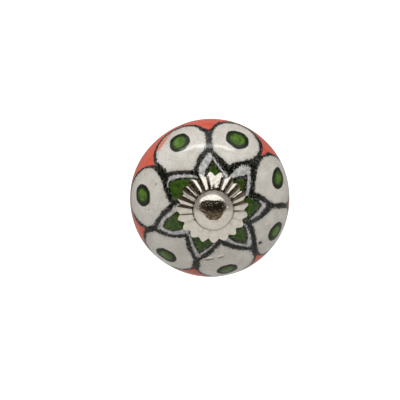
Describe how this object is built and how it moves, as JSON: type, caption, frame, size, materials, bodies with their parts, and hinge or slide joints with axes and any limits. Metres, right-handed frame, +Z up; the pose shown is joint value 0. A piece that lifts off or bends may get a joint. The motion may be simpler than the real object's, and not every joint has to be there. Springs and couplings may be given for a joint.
{
  "type": "cabinet knob",
  "caption": "Round glazed ceramic cabinet knob with a painted flower front, a fluted metal cap and a dome-headed bolt that clamps it to a drawer front.",
  "frame": {"origin": "centre of the collar's foot ring, where the knob meets the drawer front, on the bolt's axis", "axes": "+Y along the bolt into the board, -Y out of the painted front, +Z up as the knob is mounted, +X to the right seen from the front"},
  "size_m": [0.04, 0.0641, 0.04],
  "materials": {
    "painted_glaze": "hand-painted flower in green, orange and black on off-white, under a clear gloss glaze",
    "nickel_plate": "bright nickel plate, slightly warm",
    "zinc_plate": "bright zinc plate"
  },
  "bodies": {
    "root": {"ceramic_body": "painted_glaze", "fluted_cap": "nickel_plate", "dome_bolt": "nickel_plate", "back_collar": "nickel_plate", "flat_washer": "zinc_plate", "hex_nut": "zinc_plate"}
  },
  "joints": []
}
